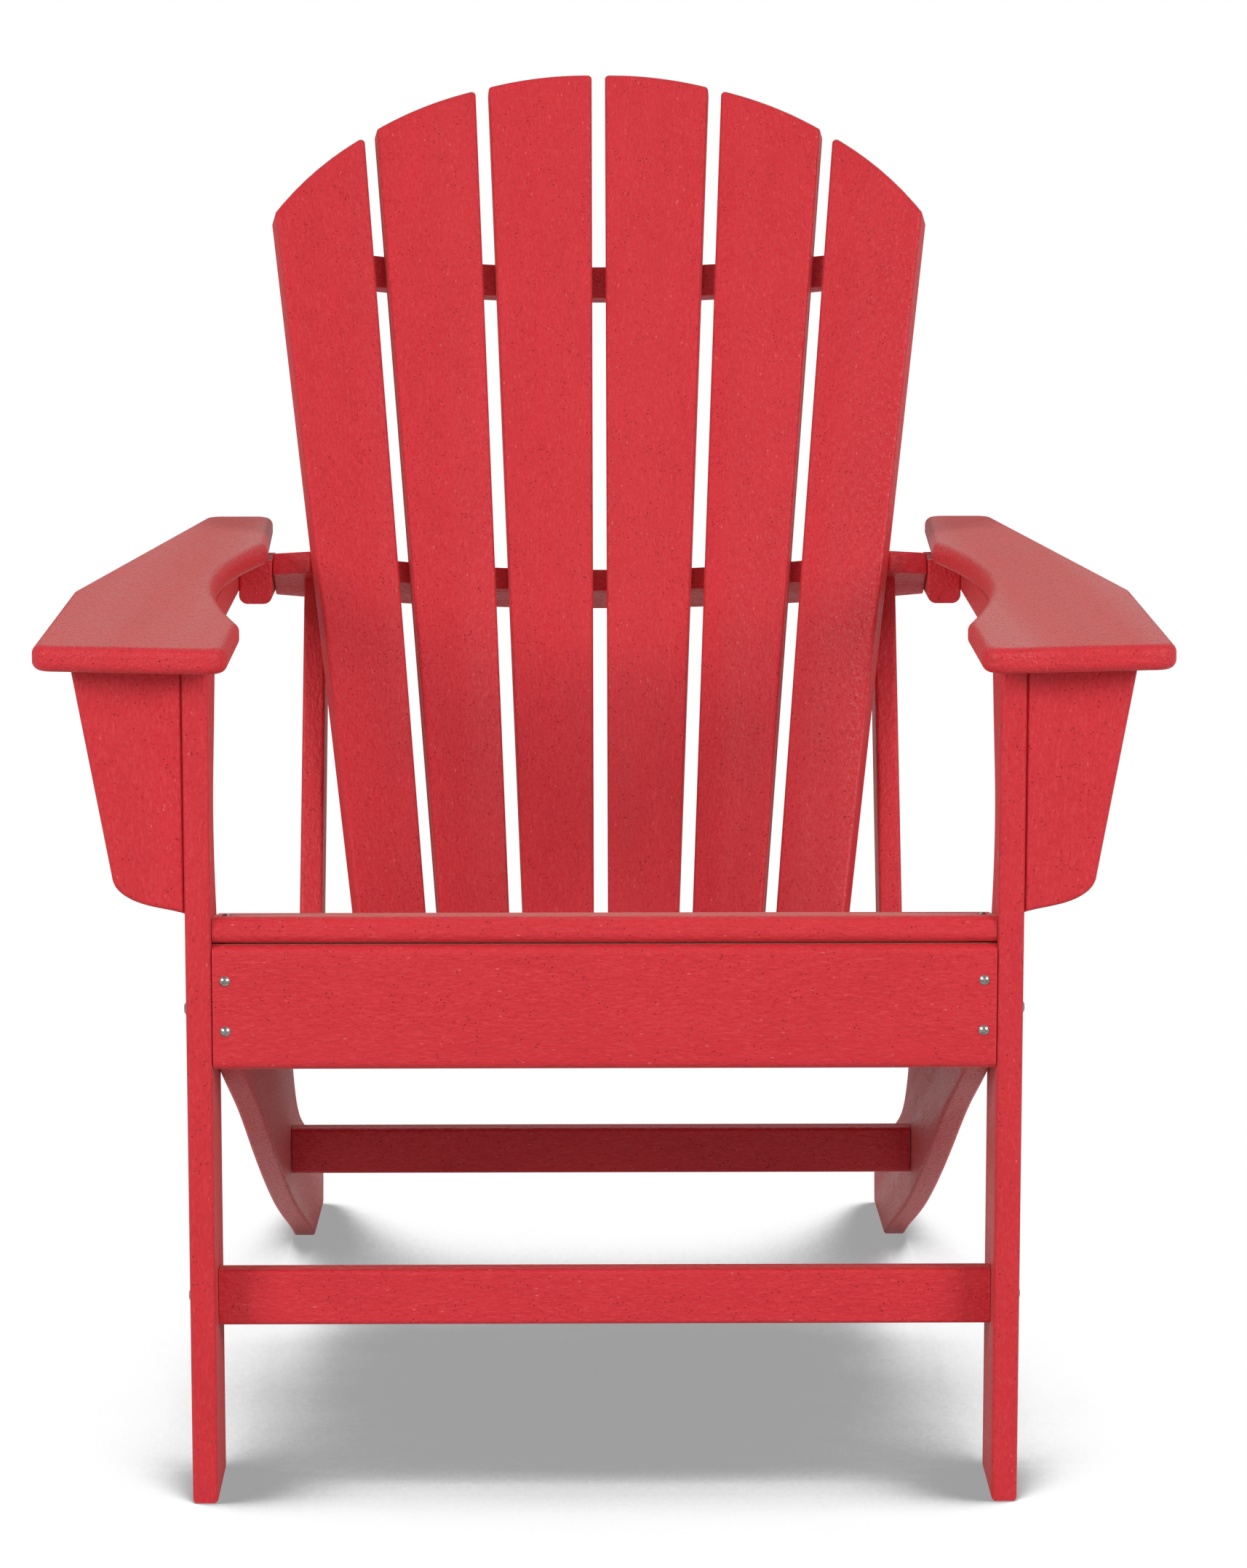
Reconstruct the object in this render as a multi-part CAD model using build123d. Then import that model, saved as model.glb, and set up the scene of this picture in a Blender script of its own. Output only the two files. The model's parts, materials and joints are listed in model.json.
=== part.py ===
"""Adirondack chair in solid recycled-plastic boards, as an assembly of separate parts.

Millimetres. +Z is up, the sitter faces -Y, X runs across the chair, and the floor is Z = 0.
The boards are drawn with the front of the legs at Y = 0, once for the +X side and mirrored for
the other, and the finished chair is moved so that its origin is under the middle of its depth.
"""

import os
from math import cos, radians, sin, sqrt, tan

from build123d import *

# --- stock -----------------------------------------------------------------------------------
BOARD = 17.8                # thickness of every sawn board
EDGE_R = 3.2                # rounded edge of the frame boards and back slats
SOFT_R = 6.4                # fuller rounded edge of the boards that meet the hand
SIDE_RAIL_R = 2.5           # rounded edge of the side rails
FIT_GAP = 0.4               # assembly gap between neighbouring boards

# --- main frame ------------------------------------------------------------------------------
LEG_INNER_X = 268.5         # inner face of a front leg
LEG_OUTER_X = LEG_INNER_X + BOARD
TOE_IN = 0.95               # degrees each side rail turns inwards towards the back
ARM_TOP = 604.0
ARM_UNDER = ARM_TOP - BOARD
LEG_DEPTH = 81.0            # front leg, front to back, at the floor
LEG_WAIST = [(82, 300), (63, 402), (43.5, 462), (44.5, 492), (56, 524), (72, 566), (79, ARM_UNDER)]

APRON_SETBACK = 1.0
APRON_LOW, APRON_HIGH = 307.2, 394.0
APRON_REAR = APRON_SETBACK + BOARD

STRETCHER_FRONT = 26.0
STRETCHER_LOW, STRETCHER_HIGH = 120.2, 159.5
REAR_STRETCHER_Y = 477.0
REAR_STRETCHER_LOW, REAR_STRETCHER_HIGH = 117.0, 153.0

# --- seat ------------------------------------------------------------------------------------
SEAT_START = (2.0, 396.2)   # underside of the first seat board: Y, Z
SEAT_STEPS = [(88, 9), (74, 18), (74, 22), (74, 24), (74, 24), (58, 22)]  # run, downward slope
SEAT_GAP = 8.0

# --- side rail, which is also the rear leg: Y, Z points --------------------------------------
RAIL_START_Y = APRON_REAR + FIT_GAP
RAIL_UNDERSIDE = [(110, 270), (185, 238), (301, 182), (421, 125), (530, 78), (620, 44), (700, 15)]
RAIL_UNDERSIDE_START = 311.0
FOOT_FRONT, FOOT_REAR = 738.0, 846.0
HEEL = (850.0, 24.0)
RAIL_TOP_BACK = [(843, 36), (740, 77), (635, 120), (555, 154)]
RAIL_EAR = [(511, 194), (506, 222), (490, 243)]

# --- back ------------------------------------------------------------------------------------
RECLINE = 26.0              # degrees from the vertical
BACK_TOP = (0.0, 812.0, 962.4)
FAN_RADIUS = 2290.0         # from the top of the back down to the point the slats fan out from
SLAT_WEDGE = 2.4            # degrees of fan taken by one slat and its gap
SLAT_TURN = 7.6             # degrees between the faces of neighbouring slats
SLAT_GAP = 10.5
SLATS_PER_SIDE = 3
CROWN_R = 308.0             # radius of the arched top
SLAT_FOOT = 822.0           # length from the crown down to the slats' lower ends

CLEAT_DROP, CLEAT_TALL, CLEAT_THICK, CLEAT_HALF = 163.0, 27.0, 12.7, 236.0
CLEAT_SAG = 1.8             # gap behind the middle of a slat where the curved strip passes it
# flat boards behind the slats: distance below the crown, half width of the hollow front edge,
# and how far behind the slats the rear edge lies in the middle and at the ends
CROSS_DROP, CROSS_HOLLOW, CROSS_REAR_N, CROSS_END_N = 424.0, 230.0, -64.0, -28.0
LOW_DROP, LOW_HOLLOW, LOW_REAR_N, LOW_END_N = 800.0, 188.0, -60.0, -42.0
CROSS_HALF = 260.0
SHOULDER_STEP = 5.0
UPRIGHT_X, UPRIGHT_FRONT_N, UPRIGHT_DEPTH = 217.0, 13.0, 48.0

# --- arms ------------------------------------------------------------------------------------
ARM_OUTLINE = [(253, -42), (385.5, -22), (386, 277), (323, 758), (268, 758), (261.5, 566)]
ARM_SCALLOP = [(275.5, 490), (285.3, 378), (284, 300), (273.5, 206), (253, 98)]
ARM_CORNER_R = 15.0
ARM_RAIL_TALL, ARM_RAIL_REAR = 25.0, 700.0
BLOCK_FRONT, BLOCK_REAR, BLOCK_LOW = 597.0, 651.0, 551.5
BLOCK_CORNER_R = 7.0
BRACKET_FRONT = 2.2
BRACKET_WIDE = 75.2         # at the arm
BRACKET_FOOT = [(49.2, 441.6), (45.3, 432.6), (39.4, 427.7), (27.2, 422.4), (0, 416)]

# --- fasteners: shank radius, head radius, head height ---------------------------------------
SCREW_R, SCREW_HEAD_R, SCREW_HEAD_H = 2.0, 3.7, 1.8
BOLT_R, BOLT_HEAD_R, BOLT_HEAD_H = 3.0, 6.0, 3.6
SOCKET_R_SHARE, SOCKET_DEPTH_SHARE = 0.45, 0.6    # hexagon socket, as a share of its head
HOLE_CLEARANCE = 0.1
HOLE_OVERRUN = 1.0
NUT_R, NUT_H, WASHER_R, WASHER_H = 5.2, 4.5, 7.0, 1.2
BOLT_END = 1.0              # bolt showing past its nut
BITE = 14.0                 # how far a screw runs into the board it holds
SHORT_BITE = 10.0
STOP_SHORT = 4.0            # board left past the point of a screw

# --- where the fasteners sit -------------------------------------------------------------------
APRON_SCREW_Z = (369.5, 334.5)
LEG_BOLT_Y, LEG_BOLT_Z = 29.0, 345.0
LEG_SCREW_YZ = ((62.0, 312.0), (42.0, 372.0))
REAR_STRETCHER_SCREW_Z = (126.0, 144.0)
UPRIGHT_SCREW_INSET = 12.0
LOW_RAIL_SCREW_N = (-4.0, -30.0)
ARM_SCREW_Y = (110.0, 340.0, 560.0)
ARM_RAIL_SCREW_Y = (38.0, 60.0)
BRACKET_SCREW_Z = (455.0, 540.0)
BLOCK_SCREW_N = (10.0, -14.0)


# --- helpers ---------------------------------------------------------------------------------
def mirrored(solid):
    """The same solid on the -X side."""
    return mirror(solid, about=Plane.YZ)


def flat_faces(solid, axis):
    """The two outermost faces along an axis."""
    ordered = solid.faces().sort_by(axis)
    return [ordered[0], ordered[-1]]


def rounded(solid, axis, radius):
    """Rounds the outline of both large faces of a board whose thickness runs along axis."""
    return fillet([edge for face in flat_faces(solid, axis) for edge in face.edges()], radius)


def side_board(outline, x_inner, radius=EDGE_R):
    """A board standing in a Y-Z plane; outline is a closed wire of (Y, Z) drawn on Plane.YZ."""
    solid = extrude(make_face(Plane.YZ * outline), BOARD, dir=(1, 0, 0))
    return Pos(x_inner, 0, 0) * rounded(solid, Axis.X, radius)


def toed(solid):
    """Turns a side-rail part about the front corner where it meets the leg."""
    hinge = Pos(LEG_INNER_X, 0, 0)
    return hinge * (Rot(0, 0, TOE_IN) * (Pos(-LEG_INNER_X, 0, 0) * solid))


def rail_outer_x(y):
    """Outer face of the side rail at a distance y behind the front of the chair."""
    return LEG_INNER_X - y * tan(radians(TOE_IN))


def rail_inner_x(y):
    """Inner face of the side rail at y."""
    return rail_outer_x(y) - BOARD / cos(radians(TOE_IN))


def cross_board(half_length, y, z, deep, tall, radius):
    """A straight board across the chair; y and z are its front lower edge."""
    solid = Box(2 * half_length, deep, tall, align=(Align.CENTER, Align.MIN, Align.MIN))
    return fillet((Pos(0, y, z) * solid).edges().filter_by(Axis.X), radius)


def back_location(across, up, out):
    """A place in the back's own frame: across, up the slats from the crown, and out towards
    the sitter."""
    frame = Plane(origin=BACK_TOP, x_dir=(1, 0, 0),
                  z_dir=(0, -cos(radians(RECLINE)), sin(radians(RECLINE))))
    return frame.location * Pos(across, up, out)


def back_point(across, up, out):
    return back_location(across, up, out).position


def shelf_plane(drop):
    """Plane square to the slats, drop below the crown; its local y points out to the sitter."""
    tilt = radians(RECLINE)
    return Plane(origin=back_point(0, -drop, 0), x_dir=(1, 0, 0), z_dir=(0, -sin(tilt), -cos(tilt)))


def slat_pitch(drop):
    return 2 * (FAN_RADIUS - drop) * tan(radians(SLAT_WEDGE / 2))


def arc_radii(drop):
    """Radius of the circle through the slat joints, and of the circle round their backs."""
    pitch = slat_pitch(drop)
    joint = pitch / (2 * sin(radians(SLAT_TURN / 2)))
    flat = joint * cos(radians(SLAT_TURN / 2))
    return joint, sqrt((flat + BOARD) ** 2 + ((pitch - SLAT_GAP) / 2) ** 2)


def arc_out(drop, x, extra=0.0):
    """How far out the curve round the backs of the slats lies at x; extra steps it back."""
    joint, behind = arc_radii(drop)
    return joint - sqrt((behind + extra) ** 2 - x ** 2)


# --- boards ----------------------------------------------------------------------------------
def front_leg():
    low = Polyline(LEG_WAIST[0], (LEG_DEPTH, 0), (0, 0), (0, ARM_UNDER), LEG_WAIST[-1])
    return side_board(low + Spline(*LEG_WAIST), LEG_INNER_X)


def seat_line():
    """Corners of the seat line on the side rails, front to back, and each board's slope."""
    corners = [SEAT_START]
    for run, slope in SEAT_STEPS:
        y, z = corners[-1]
        corners.append((y + run * cos(radians(slope)), z - run * sin(radians(slope))))
    return corners


def side_rail():
    seat = seat_line()
    slope = radians(SEAT_STEPS[0][1])
    start_top = (RAIL_START_Y, SEAT_START[1] - (RAIL_START_Y - SEAT_START[0]) * tan(slope))
    start_low = (RAIL_START_Y, RAIL_UNDERSIDE_START)
    underside = Spline(start_low, *RAIL_UNDERSIDE, (FOOT_FRONT, 0))
    foot = Polyline((FOOT_FRONT, 0), (FOOT_REAR, 0), HEEL, RAIL_TOP_BACK[0])
    top_back = Spline(*RAIL_TOP_BACK, RAIL_EAR[0])
    top = Polyline(*RAIL_EAR, seat[-1], *seat[-2:0:-1], start_top, start_low)
    outline = underside + foot + top_back + top
    board = side_board(outline, LEG_INNER_X - BOARD, SIDE_RAIL_R)
    return toed(board)


def seat_boards():
    boards = []
    seat = seat_line()
    for index, (run, slope) in enumerate(SEAT_STEPS):
        y, z = seat[index]
        first = index == 0
        near = 0.0 if first else SEAT_GAP / 2
        half = LEG_INNER_X - FIT_GAP if first else rail_outer_x(y)
        radius = SOFT_R if first else EDGE_R
        flat = cross_board(half, near, 0, run - near - SEAT_GAP / 2, BOARD, radius)
        boards.append(Pos(0, y, z) * (Rot(-slope, 0, 0) * flat))
    return boards


def fan_locations():
    """Local frames of the slats from the middle outwards: y runs up the slat from the fan's
    centre, z is the face."""
    joint = back_location(0, -FAN_RADIUS, 0) * Rot(0, -SLAT_TURN / 2, 0)
    frames = []
    for _ in range(SLATS_PER_SIDE):
        frames.append(joint * Rot(0, 0, -SLAT_WEDGE / 2))
        joint = joint * Rot(0, 0, -SLAT_WEDGE) * Rot(0, -SLAT_TURN, 0)
    return frames


def slat_half(radius):
    """Half width of a slat at a distance from the fan's centre."""
    return radius * tan(radians(SLAT_WEDGE / 2)) - SLAT_GAP / 2


def crown_block():
    """Everything under the arched top line of the back."""
    disc = Pos(0, -CROWN_R) * Circle(CROWN_R)
    skirt = Pos(0, -CROWN_R) * Rectangle(2 * CROWN_R, FAN_RADIUS, align=(Align.CENTER, Align.MAX))
    return back_location(0, 0, 0) * extrude(disc + skirt, CROWN_R, both=True)


def back_slats():
    """Slats on the +X side, from the middle outwards."""
    low, high = FAN_RADIUS - SLAT_FOOT, FAN_RADIUS
    outline = Polyline((slat_half(low), low), (slat_half(high), high), (-slat_half(high), high),
                       (-slat_half(low), low), close=True)
    wedge = extrude(make_face(outline), -BOARD)
    crown = crown_block()
    slats = []
    for frame in fan_locations():
        slat = (frame * wedge) & crown
        slats.append(fillet(slat.edges(), EDGE_R))
    return slats


def upper_cleat():
    """Thin bent strip behind the slats, near the crown."""
    rear = CLEAT_THICK
    front_line = ThreePointArc((-CLEAT_HALF, arc_out(CLEAT_DROP, CLEAT_HALF)),
                               (0, arc_out(CLEAT_DROP, 0)),
                               (CLEAT_HALF, arc_out(CLEAT_DROP, CLEAT_HALF)))
    rear_line = ThreePointArc((-CLEAT_HALF, arc_out(CLEAT_DROP, CLEAT_HALF, rear)),
                              (0, arc_out(CLEAT_DROP, 0, rear)),
                              (CLEAT_HALF, arc_out(CLEAT_DROP, CLEAT_HALF, rear)))
    ends = Line(front_line @ 0, rear_line @ 0) + Line(front_line @ 1, rear_line @ 1)
    strip = shelf_plane(CLEAT_DROP) * extrude(make_face(front_line + rear_line + ends), CLEAT_TALL)
    return fillet(strip.edges(), EDGE_R / 2)


def shelf_board(drop, hollow, end, rear_mid, rear_end):
    """Flat board square to the slats: hollow front edge, bowed rear edge, straight shoulders."""
    shoulder = (hollow, arc_out(drop, hollow))
    end_front, end_rear = (end, shoulder[1] - SHOULDER_STEP), (end, rear_end)
    left = [(-x, out) for x, out in (shoulder, end_front, end_rear)]
    front_line = ThreePointArc(left[0], (0, arc_out(drop, 0)), shoulder)
    rear_line = ThreePointArc(left[2], (0, rear_mid), end_rear)
    sides = Polyline(shoulder, end_front, end_rear) + Polyline(*left)
    outline = make_face(front_line + rear_line + sides)
    board = shelf_plane(drop) * extrude(outline, BOARD)
    return fillet(board.edges(), EDGE_R / 2)


def upright():
    """Post between the two flat boards behind the slats."""
    tall = LOW_DROP - CROSS_DROP - BOARD
    post = Box(BOARD, UPRIGHT_DEPTH, tall, align=(Align.MIN, Align.MAX, Align.MIN))
    post = fillet(post.edges().filter_by(Axis.Z), EDGE_R)
    return shelf_plane(CROSS_DROP + BOARD).location * (Pos(UPRIGHT_X, UPRIGHT_FRONT_N, 0) * post)


def arm():
    straight = Polyline(ARM_SCALLOP[-1], *ARM_OUTLINE)
    outline = make_face(straight + Spline(ARM_OUTLINE[-1], *ARM_SCALLOP))
    outline = fillet(outline.vertices(), ARM_CORNER_R)
    return Pos(0, 0, ARM_UNDER) * rounded(extrude(outline, BOARD), Axis.Z, SOFT_R)


def arm_rail():
    start = BRACKET_FRONT + BOARD + FIT_GAP
    rail = Box(BOARD, ARM_RAIL_REAR - start, ARM_RAIL_TALL, align=(Align.MIN, Align.MIN, Align.MAX))
    rail = Pos(LEG_OUTER_X, start, ARM_UNDER) * rail
    return fillet(rail.edges().filter_by(Axis.Y), EDGE_R / 2)


def arm_block():
    wide = LEG_OUTER_X - CROSS_HALF
    block = Box(wide, BLOCK_REAR - BLOCK_FRONT, ARM_UNDER - BLOCK_LOW, align=(Align.MIN,) * 3)
    block = Pos(CROSS_HALF, BLOCK_FRONT, BLOCK_LOW) * block
    low_edges = block.edges().filter_by(Axis.Y).sort_by(Axis.Z)[:2]
    block = fillet(low_edges, BLOCK_CORNER_R)
    front = block.faces().sort_by(Axis.Y)[0]
    return fillet(front.edges(), EDGE_R / 2)


def bracket():
    foot = BRACKET_FOOT
    sides = Polyline(foot[-1], (0, ARM_UNDER), (BRACKET_WIDE, ARM_UNDER), foot[0])
    board = extrude(make_face(Plane.XZ * (sides + Spline(*foot))), BOARD, dir=(0, 1, 0))
    return Pos(LEG_OUTER_X, BRACKET_FRONT, 0) * rounded(board, Axis.Y, EDGE_R)


# --- fasteners -------------------------------------------------------------------------------
def seated(point, into):
    """Location at a point on a board, with local -z running into it."""
    return Plane(origin=point, z_dir=-Vector(*into)).location


def domed_head(radius, height):
    """Low domed head standing on a surface."""
    ball = (radius ** 2 + height ** 2) / (2 * height)
    dome = Pos(0, 0, height - ball) * Sphere(ball)
    return dome & Pos(0, 0, height / 2) * Box(4 * radius, 4 * radius, height)


def dome_screw(length, radius=SCREW_R, head_r=SCREW_HEAD_R, head_h=SCREW_HEAD_H):
    shank = Cylinder(radius, length, align=(Align.CENTER, Align.CENTER, Align.MAX))
    socket = extrude(RegularPolygon(SOCKET_R_SHARE * head_r, 6), head_h)
    floor = (1 - SOCKET_DEPTH_SHARE) * head_h
    return shank + domed_head(head_r, head_h) - Pos(0, 0, floor) * socket


def flush_screw(length):
    cone_h = SCREW_HEAD_R - SCREW_R
    cone = Cone(SCREW_R, SCREW_HEAD_R, cone_h, align=(Align.CENTER, Align.CENTER, Align.MAX))
    return Cylinder(SCREW_R, length, align=(Align.CENTER, Align.CENTER, Align.MAX)) + cone


def flush_hole(length):
    cone_h = SCREW_HEAD_R - SCREW_R
    gap = HOLE_CLEARANCE
    cone = Cone(SCREW_R + gap, SCREW_HEAD_R + gap, cone_h,
                align=(Align.CENTER, Align.CENTER, Align.MAX))
    return plain_hole(length, SCREW_R) + cone


def plain_hole(length, radius):
    hole = Cylinder(radius + HOLE_CLEARANCE, length + 2 * HOLE_OVERRUN,
                    align=(Align.CENTER, Align.CENTER, Align.MAX))
    return Pos(0, 0, HOLE_OVERRUN) * hole


class Assembly:
    """The chair's boards and fastener groups by name."""

    def __init__(self):
        self.nodes = {}

    def add_pair(self, name, solid):
        self.nodes["right_" + name] = solid
        self.nodes["left_" + name] = mirrored(solid)

    def fasten(self, name, seats, solid, hole, boards):
        """Places one fastener at each seat (point, direction into the board) on both sides of
        the chair, and bores the boards it passes through."""
        solids = []
        cutters = []
        for point, into in seats:
            place = seated(point, into)
            solids += [place * solid, mirrored(place * solid)]
            cutters += [place * hole, mirrored(place * hole)]
        self.nodes[name] = self.nodes.get(name, []) + solids
        for board in boards:
            for cutter in cutters:
                self.nodes[board] = self.nodes[board] - cutter


def pair(name):
    return ["right_" + name, "left_" + name]


def across(x, y, z, outward=False):
    """Seat of a fastener that runs across the chair."""
    return ((x, y, z), (1 if outward else -1, 0, 0))


def add_boards(chair):
    chair.add_pair("front_leg", front_leg())
    chair.add_pair("side_rail", side_rail())
    chair.add_pair("arm", arm())
    chair.add_pair("arm_rail", arm_rail())
    chair.add_pair("arm_block", arm_block())
    chair.add_pair("arm_bracket", bracket())
    chair.add_pair("back_upright", upright())
    for number, slat in enumerate(back_slats(), start=1):
        chair.add_pair("back_slat_%d" % number, slat)
    for number, board in enumerate(seat_boards(), start=1):
        chair.nodes["seat_slat_%d" % number] = board
    inside = LEG_INNER_X - FIT_GAP
    rear_half = rail_inner_x(REAR_STRETCHER_Y + BOARD) - FIT_GAP
    apron_tall = APRON_HIGH - APRON_LOW
    chair.nodes["front_apron"] = cross_board(inside, APRON_SETBACK, APRON_LOW, BOARD, apron_tall,
                                             SOFT_R)
    chair.nodes["front_stretcher"] = cross_board(inside, STRETCHER_FRONT, STRETCHER_LOW, BOARD,
                                                 STRETCHER_HIGH - STRETCHER_LOW, EDGE_R)
    chair.nodes["rear_stretcher"] = cross_board(rear_half, REAR_STRETCHER_Y, REAR_STRETCHER_LOW,
                                                BOARD, REAR_STRETCHER_HIGH - REAR_STRETCHER_LOW,
                                                EDGE_R)
    low_half = rail_inner_x(back_point(0, -LOW_DROP, LOW_REAR_N).Y) - FIT_GAP
    chair.nodes["upper_back_cleat"] = upper_cleat()
    chair.nodes["arm_cross_rail"] = shelf_board(CROSS_DROP, CROSS_HOLLOW, CROSS_HALF - FIT_GAP,
                                                CROSS_REAR_N, CROSS_END_N)
    chair.nodes["lower_back_rail"] = shelf_board(LOW_DROP, LOW_HOLLOW, low_half, LOW_REAR_N,
                                                 LOW_END_N)


def add_frame_fasteners(chair):
    screw_x = LEG_INNER_X - BOARD / 2
    apron_seats = [((screw_x, APRON_SETBACK, z), (0, 1, 0)) for z in APRON_SCREW_Z]
    length = BOARD + BITE
    chair.fasten("apron_screws", apron_seats, dome_screw(length), plain_hole(length, SCREW_R),
                 ["front_apron"] + pair("side_rail"))

    bolt = 2 * BOARD + WASHER_H + NUT_H
    upper = [across(LEG_OUTER_X, LEG_BOLT_Y, LEG_BOLT_Z)]
    chair.fasten("leg_bolts", upper, dome_screw(bolt + BOLT_END, BOLT_R, BOLT_HEAD_R, BOLT_HEAD_H),
                 plain_hole(bolt, BOLT_R), pair("front_leg") + pair("side_rail"))
    lower = [across(LEG_OUTER_X, STRETCHER_FRONT + BOARD / 2, (STRETCHER_LOW + STRETCHER_HIGH) / 2)]
    length = BOARD + 3 * BITE
    chair.fasten("leg_bolts", lower, dome_screw(length, BOLT_R, BOLT_HEAD_R, BOLT_HEAD_H),
                 plain_hole(length, BOLT_R), pair("front_leg") + ["front_stretcher"])
    nut_seat = [across(rail_inner_x(LEG_BOLT_Y) - FIT_GAP, LEG_BOLT_Y, LEG_BOLT_Z)]
    ring = Cylinder(WASHER_R, WASHER_H, align=(Align.CENTER, Align.CENTER, Align.MAX))
    hexagon = extrude(RegularPolygon(NUT_R, 6), -NUT_H)
    nut = ring + Pos(0, 0, -WASHER_H) * hexagon - Cylinder(BOLT_R + HOLE_CLEARANCE, 4 * NUT_H)
    chair.fasten("leg_nuts", nut_seat, nut, nut, [])

    length = 2 * BOARD - STOP_SHORT
    held = [across(rail_inner_x(y), y, z, outward=True) for y, z in LEG_SCREW_YZ]
    chair.fasten("leg_screws", held, flush_screw(length), flush_hole(length),
                 pair("front_leg") + pair("side_rail"))

    length = BOARD + 2 * BITE
    y = REAR_STRETCHER_Y + BOARD / 2
    ends = [across(rail_outer_x(y), y, z) for z in REAR_STRETCHER_SCREW_Z]
    chair.fasten("rear_stretcher_screws", ends, flush_screw(length), flush_hole(length),
                 pair("side_rail") + ["rear_stretcher"])


def add_seat_fasteners(chair):
    length = BOARD + BITE
    seat = seat_line()
    for index, (run, slope) in enumerate(SEAT_STEPS):
        y, z = seat[index]
        along = SEAT_GAP + BITE if index == 0 else run / 2
        tilt = radians(slope)
        point_y = y + along * cos(tilt) + BOARD * sin(tilt)
        point_z = z - along * sin(tilt) + BOARD * cos(tilt)
        x = rail_outer_x(point_y) - BOARD / 2
        seats = [((x, point_y, point_z), (0, -sin(tilt), -cos(tilt)))]
        chair.fasten("seat_screws", seats, dome_screw(length), plain_hole(length, SCREW_R),
                     ["seat_slat_%d" % (index + 1)] + pair("side_rail"))


def slat_seats(drop, depth):
    """Screws driven into the slats from behind, level with each other: one per slat, square to
    its face."""
    seats = []
    up = back_point(0, 1, 0) - back_point(0, 0, 0)
    for frame in fan_locations():
        along = (frame * Pos(0, 1, 0)).position - frame.position
        hit = frame * Pos(0, (FAN_RADIUS - drop) / along.dot(up), -BOARD - depth)
        out = (hit * Pos(0, 0, 1)).position - hit.position
        seats.append((hit.position, (out.X, out.Y, out.Z)))
    return seats


def add_back_fasteners(chair):
    slats = []
    for index in range(SLATS_PER_SIDE):
        slats += pair("back_slat_%d" % (index + 1))
    half = CLEAT_TALL / 2
    length = CLEAT_THICK + SHORT_BITE
    chair.fasten("upper_cleat_screws", slat_seats(CLEAT_DROP + half, CLEAT_THICK + CLEAT_SAG),
                 dome_screw(length), plain_hole(length, SCREW_R), slats + ["upper_back_cleat"])
    flat_boards = [("cross_rail_screws", CROSS_DROP, "arm_cross_rail", CROSS_REAR_N),
                   ("lower_rail_screws", LOW_DROP, "lower_back_rail", LOW_REAR_N)]
    for name, drop, board, rear in flat_boards:
        seats = rear_edge_seats(drop, rear)
        length = -rear - STOP_SHORT
        chair.fasten(name, seats, flush_screw(length), flush_hole(length), slats + [board])

    tilt = radians(RECLINE)
    down = (0, -sin(tilt), -cos(tilt))
    up = (0, sin(tilt), cos(tilt))
    length = BOARD + 2 * BITE
    middle = UPRIGHT_X + BOARD / 2
    outs = (UPRIGHT_FRONT_N - UPRIGHT_SCREW_INSET,
            UPRIGHT_FRONT_N - UPRIGHT_DEPTH + UPRIGHT_SCREW_INSET)
    tops = [(tuple(back_point(middle, -CROSS_DROP, out)), down) for out in outs]
    feet = [(tuple(back_point(middle, -LOW_DROP - BOARD, out)), up) for out in outs]
    chair.fasten("upright_top_screws", tops, flush_screw(length), flush_hole(length),
                 pair("back_upright") + ["arm_cross_rail"])
    chair.fasten("upright_foot_screws", feet, flush_screw(length), flush_hole(length),
                 pair("back_upright") + ["lower_back_rail"])

    ends = []
    for out in LOW_RAIL_SCREW_N:
        place = back_point(0, -LOW_DROP - BOARD / 2, out)
        ends.append(across(rail_outer_x(place.Y), place.Y, place.Z))
    chair.fasten("lower_rail_end_screws", ends, flush_screw(length), flush_hole(length),
                 pair("side_rail") + ["lower_back_rail"])


def rear_edge_seats(drop, rear):
    """Screws through a flat board from its rear edge, one to each slat."""
    seats = []
    middle = drop + BOARD / 2
    for index in range(SLATS_PER_SIDE):
        angle = radians((index + 0.5) * SLAT_TURN)
        joint, behind = arc_radii(middle)
        x = joint * sin(angle)
        start = max(rear + FIT_GAP, joint - joint * cos(angle) + rear)
        into = back_point(0, 0, 1) - back_point(0, 0, 0)
        seats.append((tuple(back_point(x, -middle, start)), (into.X, into.Y, into.Z)))
    return seats


def add_arm_fasteners(chair):
    outer = LEG_OUTER_X + BOARD
    rail_mid = LEG_OUTER_X + BOARD / 2
    low = ARM_UNDER - ARM_RAIL_TALL
    length = ARM_RAIL_TALL + SHORT_BITE
    seats = [((rail_mid, y, low), (0, 0, 1)) for y in ARM_SCREW_Y]
    chair.fasten("arm_screws", seats, flush_screw(length), flush_hole(length),
                 pair("arm") + pair("arm_rail"))

    length = 2 * BOARD - STOP_SHORT
    middle = ARM_UNDER - ARM_RAIL_TALL / 2
    seats = [across(outer, y, middle) for y in ARM_RAIL_SCREW_Y]
    chair.fasten("arm_rail_screws", seats, flush_screw(length), flush_hole(length),
                 pair("front_leg") + pair("arm_rail"))

    y = BRACKET_FRONT + BOARD / 2
    seats = [across(LEG_INNER_X, y, z, outward=True) for z in BRACKET_SCREW_Z]
    chair.fasten("bracket_screws", seats, flush_screw(length), flush_hole(length),
                 pair("front_leg") + pair("arm_bracket"))

    length = BOARD + LEG_OUTER_X - CROSS_HALF + 2 * BITE
    seats = []
    for out in BLOCK_SCREW_N:
        place = back_point(0, -CROSS_DROP - BOARD / 2, out)
        seats.append(across(outer, place.Y, place.Z))
    chair.fasten("arm_block_screws", seats, flush_screw(length), flush_hole(length),
                 pair("arm_rail") + pair("arm_block") + ["arm_cross_rail"])


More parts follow.
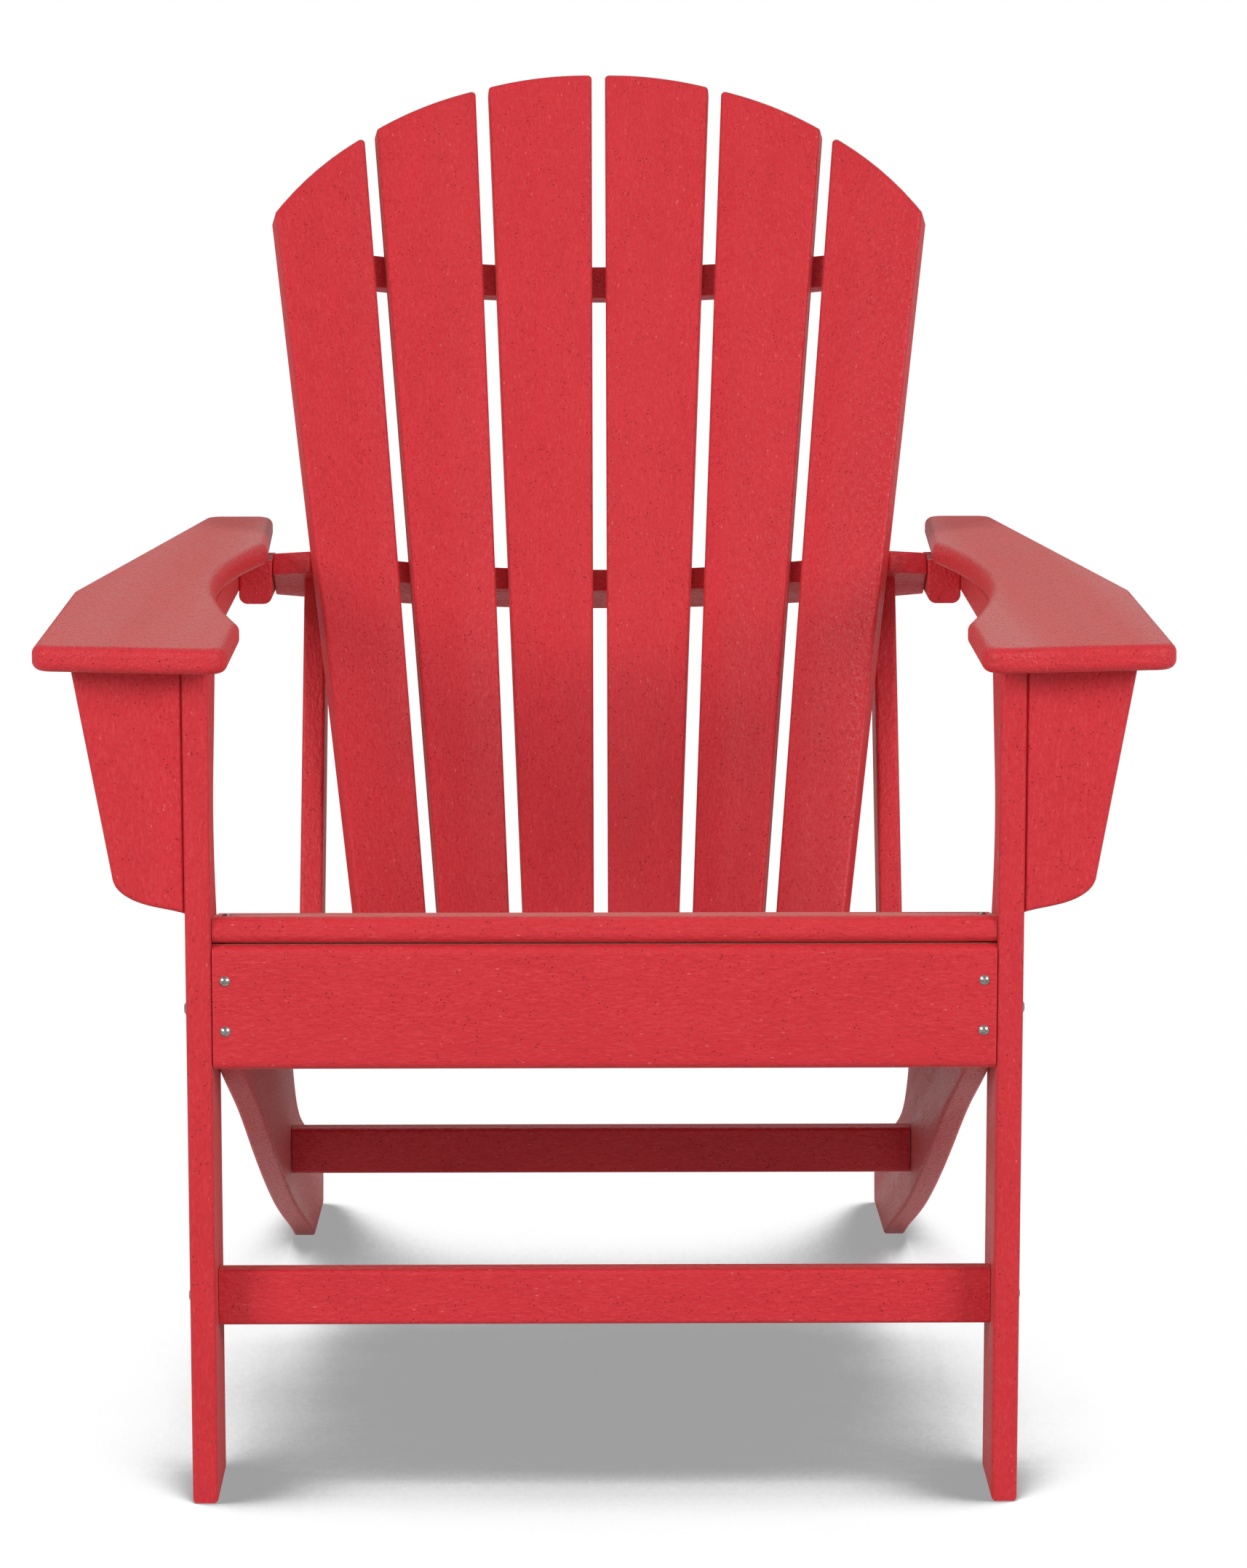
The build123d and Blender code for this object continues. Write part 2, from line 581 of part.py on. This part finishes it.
def export(chair):
    os.makedirs("parts", exist_ok=True)
    depth = [chair.nodes["right_arm"].bounding_box().min.Y,
             chair.nodes["right_side_rail"].bounding_box().max.Y]
    centre = Pos(0, -sum(depth) / 2, 0)
    for name, shape in chair.nodes.items():
        items = shape if isinstance(shape, list) else [shape]
        solids = [centre * solid for item in items for solid in item.solids()]
        whole = Compound(children=solids) if len(solids) > 1 else solids[0]
        export_step(whole, "parts/%s.step" % name)


def main():
    chair = Assembly()
    add_boards(chair)
    add_frame_fasteners(chair)
    add_seat_fasteners(chair)
    add_back_fasteners(chair)
    add_arm_fasteners(chair)
    export(chair)


main()
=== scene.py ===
"""Adirondack chair in red recycled-plastic boards: materials, studio, light and camera."""

import json
import math

import bpy
from mathutils import Matrix, Vector

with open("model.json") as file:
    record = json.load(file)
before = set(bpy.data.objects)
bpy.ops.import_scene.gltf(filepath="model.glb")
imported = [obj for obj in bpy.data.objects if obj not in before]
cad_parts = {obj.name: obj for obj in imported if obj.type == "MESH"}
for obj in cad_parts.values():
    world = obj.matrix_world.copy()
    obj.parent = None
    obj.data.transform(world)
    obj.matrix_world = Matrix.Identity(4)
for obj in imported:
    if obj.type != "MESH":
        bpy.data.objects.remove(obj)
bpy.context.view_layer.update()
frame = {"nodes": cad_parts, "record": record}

# --- colours, linear --------------------------------------------------------------------------
RED = (0.63, 0.0190, 0.030, 1.0)
RED_DEEP = (0.58, 0.0160, 0.026, 1.0)
RED_LIGHT = (0.68, 0.050, 0.056, 1.0)
RED_DARK = (0.44, 0.0120, 0.019, 1.0)
FLECK = (0.80, 0.19, 0.17, 1.0)
# painted shade: colour given to the dented pits
PIT_SHADE = (0.30, 0.012, 0.018, 1.0)
SHEEN = (1.0, 0.88, 0.74, 1.0)
STEEL = (0.55, 0.53, 0.50, 1.0)
STEEL_DULL = (0.26, 0.245, 0.215, 1.0)
WHITE = (1.0, 1.0, 1.0, 1.0)

# --- board plastic: patterns (features per metre, stretch along the board, octaves) -------------
MOTTLE = (45.0, 3.0, 5.0)
BAND = (14.0, 40.0, 2.0)
STREAK = (800.0, 6.0, 3.0)
SPECKLE = (620.0, 1.5, 2.0)
SKIN = (340.0, 2.0, 3.0)
FLECK_CELLS, FLECK_STRETCH, FLECK_PATCHES = 240.0, 2.5, 130.0    # per metre
PIT_CELLS, PIT_PATCHES = 300.0, 95.0                             # per metre
PATCH_OCTAVES = 1.0
NOISE_ROUGHNESS = 0.55              # share of each octave's strength passed to the next
SEED_STEP = (1.37, 0.73, 2.11)      # metres of pattern between one board and the next

# the part of each pattern that shows, from nothing to full, and how strongly it colours
MOTTLE_RANGE = (0.30, 0.70)
STREAK_RANGE, STREAK_SHARE = (0.50, 0.76), 0.70
SPECKLE_RANGE, SPECKLE_SHARE = (0.52, 0.36), 0.25
FLECK_RANGE, FLECK_PATCH_RANGE, FLECK_SHARE = (0.17, 0.06), (0.52, 0.64), 0.55
# the pits' colour share is painted shade: how strongly the dented pits are darkened
PIT_RANGE, PIT_PATCH_RANGE, PIT_SHADE_SHARE = (0.20, 0.10), (0.48, 0.62), 0.8
# painted highlight: rounded edges turned lighter, standing in for light caught along them
EDGE_HIGHLIGHT_RADIUS, EDGE_HIGHLIGHT_RANGE, EDGE_HIGHLIGHT_SHARE = 0.0022, (0.99, 0.90), 0.30
BEVEL_SAMPLES = 6

# roughness: between the two ends of BAND_ROUGH, raised or lowered by the other patterns
BAND_RANGE, BAND_ROUGH = (0.38, 0.62), (0.34, 0.62)
MOTTLE_ROUGH = 0.06
SPECKLE_ROUGH_RANGE, SPECKLE_ROUGH = (0.50, 0.36), 0.20
PIT_ROUGH = 0.30
# roughness lowered along the painted-highlight edges
EDGE_HIGHLIGHT_SMOOTH = 0.06

# bumps: strength and height in metres
SKIN_BUMP = (0.8, 0.0014)
STREAK_BUMP = (0.30, 0.0006)
PIT_BUMP = (0.8, 0.0010)

PLASTIC = {"IOR": 1.5, "Specular IOR Level": 0.42, "Sheen Weight": 0.16,
           "Sheen Roughness": 0.35, "Sheen Tint": SHEEN}

# --- stainless steel ----------------------------------------------------------------------------
CLOUD_SCALE, CLOUD_RANGE = 700.0, (0.35, 0.65)
BRUSH_SCALE, BRUSH_RANGE, BRUSH_ROUGH = 4200.0, (0.3, 0.7), (0.16, 0.30)
BRUSH_BUMP = (0.2, 0.0002)
STEEL_OCTAVES = 2.0

# --- studio, fills as a share of what the camera sees as white ----------------------------------
SKY_FILL = 0.46
FLOOR_FILL = 0.56
FLOOR_SIZE, FLOOR_MIDDLE = 260.0, (0.0, 100.0, -0.0005)    # metres
SHADOW_REACH = 1.3           # metres
SHADOW_DARK = 0.345
SHADOW_RANGE = (0.46, 0.64)  # share of open sky over the darkest and the unshaded floor
SHADOW_SAMPLES = 64

# name, place, target (metres), width, height (metres), power (watts)
LIGHTS = [
    ("rear", (0.0, 2.6, 3.6), (0.0, 0.2, 0.4), 2.4, 1.4, 14.0),
    ("key_left", (-3.4, -3.2, 2.2), (0.0, 0.0, 0.5), 1.8, 1.6, 110.0),
    ("key_right", (3.4, -3.2, 2.2), (0.0, 0.0, 0.5), 1.8, 1.6, 110.0),
]

# --- camera -------------------------------------------------------------------------------------
LENS_MM, SENSOR_MM = 115.87, 36.0
CAMERA_PLACE = (-0.02064, -3.78304, 1.06949)    # metres
CAMERA_YAW, CAMERA_PITCH = 0.009874, 0.165266   # radians to the right and downwards
CLIP_END = 400.0                                # metres


# --- node helpers -----------------------------------------------------------------------------
class Nodes:
    """Short calls for building the node tree of one material or world."""

    def __init__(self, owner):
        owner.use_nodes = True
        self.owner = owner
        self.tree = owner.node_tree

    def add(self, kind, **values):
        node = self.tree.nodes.new(kind)
        for key, value in values.items():
            setattr(node, key, value)
        return node

    def link(self, source, target):
        self.tree.links.new(source, target)

    def place(self, along, seed):
        """Object coordinates turned so that X runs along the board, shifted by the seed."""
        coords = self.add("ShaderNodeTexCoord")
        turn = self.add("ShaderNodeMapping", vector_type="POINT")
        rotation = Vector(along).to_track_quat("X", "Z").inverted().to_euler()
        turn.inputs["Rotation"].default_value = rotation
        turn.inputs["Location"].default_value = [seed * step for step in SEED_STEP]
        self.link(coords.outputs["Object"], turn.inputs["Vector"])
        return turn.outputs["Vector"]

    def stretched(self, vector, factor):
        """The same coordinates squeezed along the board, so that a texture runs with it."""
        scale = self.add("ShaderNodeMapping")
        scale.inputs["Scale"].default_value = (1.0 / factor, 1.0, 1.0)
        self.link(vector, scale.inputs["Vector"])
        return scale.outputs["Vector"]

    def noise(self, vector, scale, octaves):
        node = self.add("ShaderNodeTexNoise")
        node.inputs["Scale"].default_value = scale
        node.inputs["Detail"].default_value = octaves
        node.inputs["Roughness"].default_value = NOISE_ROUGHNESS
        self.link(vector, node.inputs["Vector"])
        return node.outputs["Fac"]

    def grain(self, vector, scale, stretch, octaves):
        """Noise drawn out along the board."""
        return self.noise(self.stretched(vector, stretch), scale, octaves)

    def cells(self, vector, scale):
        """Distance from the nearest of many scattered points."""
        node = self.add("ShaderNodeTexVoronoi")
        node.inputs["Scale"].default_value = scale
        self.link(vector, node.inputs["Vector"])
        return node.outputs["Distance"]

    def ramp(self, source, low, high, out_low=0.0, out_high=1.0, curve="LINEAR"):
        """The source read from low to high, and given out from out_low to out_high."""
        node = self.add("ShaderNodeMapRange", clamp=True, interpolation_type=curve)
        for key, value in (("From Min", low), ("From Max", high), ("To Min", out_low),
                           ("To Max", out_high)):
            node.inputs[key].default_value = value
        self.link(source, node.inputs["Value"])
        return node.outputs["Result"]

    def math(self, operation, first, second):
        node = self.add("ShaderNodeMath", operation=operation)
        for socket, value in zip(node.inputs, (first, second)):
            if isinstance(value, float):
                socket.default_value = value
            else:
                self.link(value, socket)
        return node.outputs["Value"]

    def times(self, first, second):
        return self.math("MULTIPLY", first, second)

    def mix(self, factor, first, second):
        """Colour between the first and the second."""
        node = self.add("ShaderNodeMix", data_type="RGBA")
        sockets = {socket.identifier: socket for socket in node.inputs}
        self.link(factor, sockets["Factor_Float"])
        for socket, value in ((sockets["A_Color"], first), (sockets["B_Color"], second)):
            if isinstance(value, tuple):
                socket.default_value = value
            else:
                self.link(value, socket)
        return next(output for output in node.outputs if output.identifier == "Result_Color")

    def edge(self, radius):
        """Near 1 on rounded edges, 0 on flats."""
        bevel = self.add("ShaderNodeBevel", samples=BEVEL_SAMPLES)
        bevel.inputs["Radius"].default_value = radius
        geometry = self.add("ShaderNodeNewGeometry")
        dot = self.add("ShaderNodeVectorMath", operation="DOT_PRODUCT")
        self.link(bevel.outputs["Normal"], dot.inputs[0])
        self.link(geometry.outputs["Normal"], dot.inputs[1])
        return self.ramp(dot.outputs["Value"], *EDGE_HIGHLIGHT_RANGE)

    def bump(self, height, strength, distance, normal=None):
        node = self.add("ShaderNodeBump")
        node.inputs["Strength"].default_value = strength
        node.inputs["Distance"].default_value = distance
        self.link(height, node.inputs["Height"])
        if normal is not None:
            self.link(normal, node.inputs["Normal"])
        return node.outputs["Normal"]

    def seen_white(self, shed):
        """1 where the camera sees the surface itself, and a share of that as light shed."""
        path = self.add("ShaderNodeLightPath")
        node = self.add("ShaderNodeMapRange")
        self.link(path.outputs["Is Camera Ray"], node.inputs["Value"])
        node.inputs["To Min"].default_value = shed
        node.inputs["To Max"].default_value = 1.0
        return node.outputs["Result"]


# --- materials --------------------------------------------------------------------------------
def board_plastic(name, along, seed):
    """Solid coloured plastic board: mottled red, flecks and streaks drawn out along the board,
    small pits with painted shade in them, an orange-peel skin and a painted highlight on rounded
    edges."""
    n = Nodes(bpy.data.materials.new(name))
    shader = n.tree.nodes["Principled BSDF"]
    base = n.place(along, seed)
    mottle = n.grain(base, *MOTTLE)
    band = n.grain(base, *BAND)
    streak = n.grain(base, *STREAK)
    speckle = n.grain(base, *SPECKLE)
    skin = n.grain(base, *SKIN)

    colour = n.mix(n.ramp(mottle, *MOTTLE_RANGE), RED_DEEP, RED)
    colour = n.mix(n.ramp(streak, *STREAK_RANGE, 0.0, STREAK_SHARE), colour, RED_LIGHT)
    colour = n.mix(n.ramp(speckle, *SPECKLE_RANGE, 0.0, SPECKLE_SHARE), colour, RED_DARK)
    fleck = n.ramp(n.cells(n.stretched(base, FLECK_STRETCH), FLECK_CELLS), *FLECK_RANGE)
    patch = n.ramp(n.noise(base, FLECK_PATCHES, PATCH_OCTAVES), *FLECK_PATCH_RANGE)
    colour = n.mix(n.times(n.times(fleck, patch), FLECK_SHARE), colour, FLECK)
    pit = n.ramp(n.cells(base, PIT_CELLS), *PIT_RANGE)
    patch = n.ramp(n.noise(base, PIT_PATCHES, PATCH_OCTAVES), *PIT_PATCH_RANGE)
    pits = n.times(pit, patch)
    # painted shade: the dented pits coloured darker
    colour = n.mix(n.times(pits, PIT_SHADE_SHARE), colour, PIT_SHADE)
    # painted highlight: rounded edges coloured lighter and made a little smoother
    painted_edge_highlight = n.edge(EDGE_HIGHLIGHT_RADIUS)
    colour = n.mix(n.times(painted_edge_highlight, EDGE_HIGHLIGHT_SHARE), colour, RED_LIGHT)
    n.link(colour, shader.inputs["Base Color"])

    rough = n.math("ADD", n.ramp(mottle, *MOTTLE_RANGE, 0.0, MOTTLE_ROUGH),
                   n.ramp(band, *BAND_RANGE, *BAND_ROUGH))
    rough = n.math("ADD", rough, n.ramp(speckle, *SPECKLE_ROUGH_RANGE, 0.0, SPECKLE_ROUGH))
    rough = n.math("ADD", rough, n.times(pits, PIT_ROUGH))
    rough = n.math("SUBTRACT", rough, n.times(painted_edge_highlight, EDGE_HIGHLIGHT_SMOOTH))
    n.link(rough, shader.inputs["Roughness"])
    for socket, value in PLASTIC.items():
        shader.inputs[socket].default_value = value

    fine = n.bump(skin, *SKIN_BUMP)
    lines = n.bump(streak, *STREAK_BUMP, fine)
    dents = n.bump(n.math("SUBTRACT", 1.0, pits), *PIT_BUMP, lines)
    n.link(dents, shader.inputs["Normal"])
    return n.owner


def stainless():
    """Stainless steel of the screw and bolt heads, polished with a few dull clouds."""
    n = Nodes(bpy.data.materials.new("stainless_steel"))
    shader = n.tree.nodes["Principled BSDF"]
    coords = n.add("ShaderNodeTexCoord").outputs["Object"]
    cloud = n.noise(coords, CLOUD_SCALE, STEEL_OCTAVES)
    brush = n.noise(coords, BRUSH_SCALE, STEEL_OCTAVES)
    n.link(n.mix(n.ramp(cloud, *CLOUD_RANGE), STEEL, STEEL_DULL), shader.inputs["Base Color"])
    n.link(n.ramp(brush, *BRUSH_RANGE, *BRUSH_ROUGH), shader.inputs["Roughness"])
    shader.inputs["Metallic"].default_value = 1.0
    n.link(n.bump(brush, *BRUSH_BUMP), shader.inputs["Normal"])
    return n.owner


def grain_direction(mesh):
    """Unit vector along a board, between the middles of its two ends."""
    points = [vertex.co for vertex in mesh.vertices]
    low = Vector([min(p[axis] for p in points) for axis in range(3)])
    high = Vector([max(p[axis] for p in points) for axis in range(3)])
    size = high - low
    axis = max(range(3), key=lambda index: size[index])
    tenth = size[axis] / 10
    first = [p for p in points if p[axis] < low[axis] + tenth]
    last = [p for p in points if p[axis] > high[axis] - tenth]
    start = sum(first, Vector()) / len(first)
    end = sum(last, Vector()) / len(last)
    return (end - start).normalized()


def dress_nodes():
    """Gives each board a plastic of its own, and every fastener the steel."""
    slots = {part["node"]: part["material_slot"] for part in frame["record"]["subparts"]}
    steel = stainless()
    for seed, (name, obj) in enumerate(sorted(frame["nodes"].items())):
        if slots[name] == "board":
            material = board_plastic("plastic_" + name, grain_direction(obj.data), seed)
        else:
            material = steel
        if not obj.material_slots:
            obj.data.materials.append(None)
        for slot in obj.material_slots:
            slot.link = "OBJECT"
            slot.material = material


# --- studio -----------------------------------------------------------------------------------
def floor():
    """White floor that glows as a fill light, with a painted shadow: its glow darkens where
    something stands close over it.
    """
    n = Nodes(bpy.data.materials.new("floor_glow_painted_shadow"))
    near = n.add("ShaderNodeAmbientOcclusion", samples=SHADOW_SAMPLES)
    near.inputs["Distance"].default_value = SHADOW_REACH
    # painted shadow: ambient occlusion darkens the floor's own glow
    shade = n.ramp(near.outputs["AO"], *SHADOW_RANGE, SHADOW_DARK, 1.0, "SMOOTHSTEP")
    glow = n.add("ShaderNodeEmission")
    n.link(n.times(shade, n.seen_white(FLOOR_FILL)), glow.inputs["Strength"])
    n.link(glow.outputs["Emission"], n.tree.nodes["Material Output"].inputs["Surface"])
    n.tree.nodes.remove(n.tree.nodes["Principled BSDF"])
    bpy.ops.mesh.primitive_plane_add(size=FLOOR_SIZE, location=FLOOR_MIDDLE)
    plane = bpy.context.object
    plane.name = "floor"
    plane.data.materials.append(n.owner)


def sky():
    """White all round, seen in full and shedding less."""
    n = Nodes(bpy.data.worlds.new("studio_white"))
    background = n.tree.nodes["Background"]
    background.inputs["Color"].default_value = WHITE
    n.link(n.seen_white(SKY_FILL), background.inputs["Strength"])
    bpy.context.scene.world = n.owner


def soft_light(name, place, target, width, height, power):
    light = bpy.data.lights.new(name, "AREA")
    light.shape = "RECTANGLE"
    light.size = width
    light.size_y = height
    light.energy = power
    lamp = bpy.data.objects.new(name, light)
    lamp.location = place
    lamp.rotation_euler = (Vector(target) - Vector(place)).to_track_quat("-Z", "Y").to_euler()
    bpy.context.scene.collection.objects.link(lamp)


def camera():
    data = bpy.data.cameras.new("camera")
    data.lens = LENS_MM
    data.sensor_width = SENSOR_MM
    data.clip_end = CLIP_END
    ahead = Vector((math.sin(CAMERA_YAW) * math.cos(CAMERA_PITCH),
                    math.cos(CAMERA_YAW) * math.cos(CAMERA_PITCH), -math.sin(CAMERA_PITCH)))
    right = Vector((math.cos(CAMERA_YAW), -math.sin(CAMERA_YAW), 0.0))
    up = right.cross(ahead)
    view = bpy.data.objects.new("camera", data)
    turn = Matrix((right, up, -ahead)).transposed().to_4x4()
    view.matrix_world = Matrix.Translation(CAMERA_PLACE) @ turn
    bpy.context.scene.collection.objects.link(view)
    bpy.context.scene.camera = view


dress_nodes()
floor()
sky()
for row in LIGHTS:
    soft_light(*row)
camera()
bpy.context.scene.view_settings.view_transform = "Standard"
